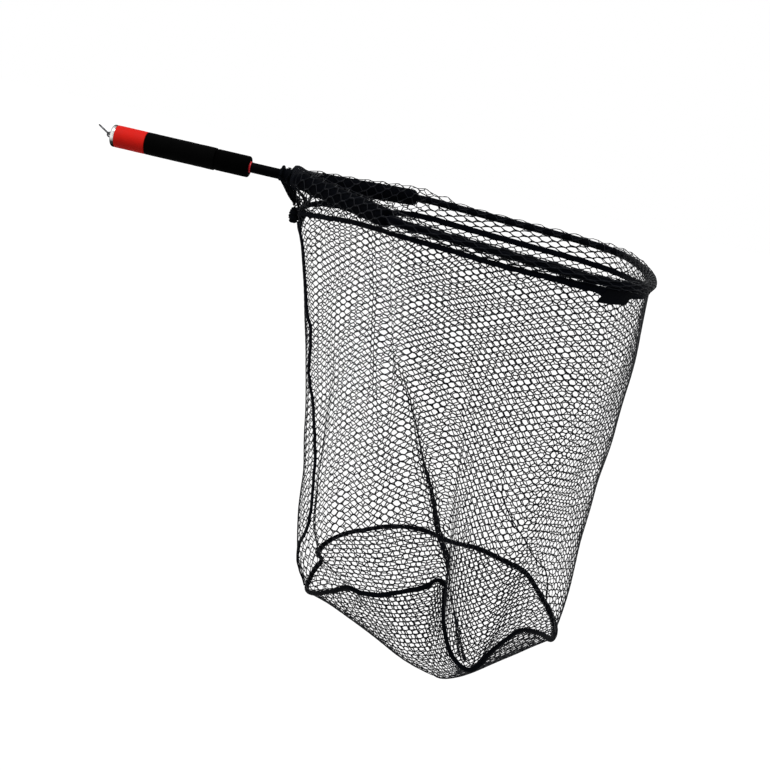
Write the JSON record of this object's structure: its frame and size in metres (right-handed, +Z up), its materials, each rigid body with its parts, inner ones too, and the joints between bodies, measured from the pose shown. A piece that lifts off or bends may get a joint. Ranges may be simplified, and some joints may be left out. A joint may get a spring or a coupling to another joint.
{
  "type": "floating landing net",
  "caption": "Hand landing net with a foam-gripped handle, a wide rounded hoop on two floating foam arms, and a deep bag of coated netting with a flat sewn-in base.",
  "frame": {"origin": "the middle of the grip, on the handle's axis", "axes": "+X along the handle from its butt toward the hoop, +Z up out of the hoop's mouth so that the bag hangs to -Z, +Y to the far side of the hoop in the picture"},
  "size_m": [0.8942, 0.4835, 0.7355],
  "materials": {
    "polished_cap": "polished",
    "eye_steel": "polished",
    "ring_steel": "polished",
    "plug_nylon": "matte",
    "shaft_paint": "satin",
    "red_foam": "matte",
    "black_foam": "matte",
    "sleeve_rubber": "satin",
    "collar_red": "gloss",
    "yoke_nylon": "satin",
    "screw_steel": "satin",
    "hoop_paint": "satin",
    "float_foam": "matte",
    "coated_net": "satin",
    "webbing": "matte",
    "cord": "matte",
    "tag_satin": "satin"
  },
  "bodies": {
    "net": {"end_cap": "polished_cap", "lanyard_eye": "eye_steel", "rear_plug": "plug_nylon", "handle_tube": "shaft_paint", "front_plug": "plug_nylon", "butt_grip": "red_foam", "main_grip": "black_foam", "front_sleeve": "sleeve_rubber", "front_collar": "collar_red", "yoke": "yoke_nylon", "shaft_screw": "screw_steel", "arm_screw_near": "screw_steel", "arm_screw_far": "screw_steel", "hoop_tube": "hoop_paint", "float_near": "float_foam", "float_far": "float_foam", "rim_netting": "coated_net", "rim_tape": "webbing", "wall_netting": "coated_net", "base_netting": "coated_net", "base_edge_cord": "webbing", "side_seam_tape": "webbing", "gather_knot": "cord", "rear_tie_cord": "cord", "front_tie_cord": "cord", "tag": "tag_satin"},
    "lanyard_ring": {"lanyard_ring": "ring_steel"}
  },
  "joints": [
    {"name": "ring_swing", "type": "hinge", "parent": "net", "child": "lanyard_ring", "pos_m": [-0.11685, 0, 0], "axis": [0, 1, 0], "range_deg": [-127, 63]}
  ]
}
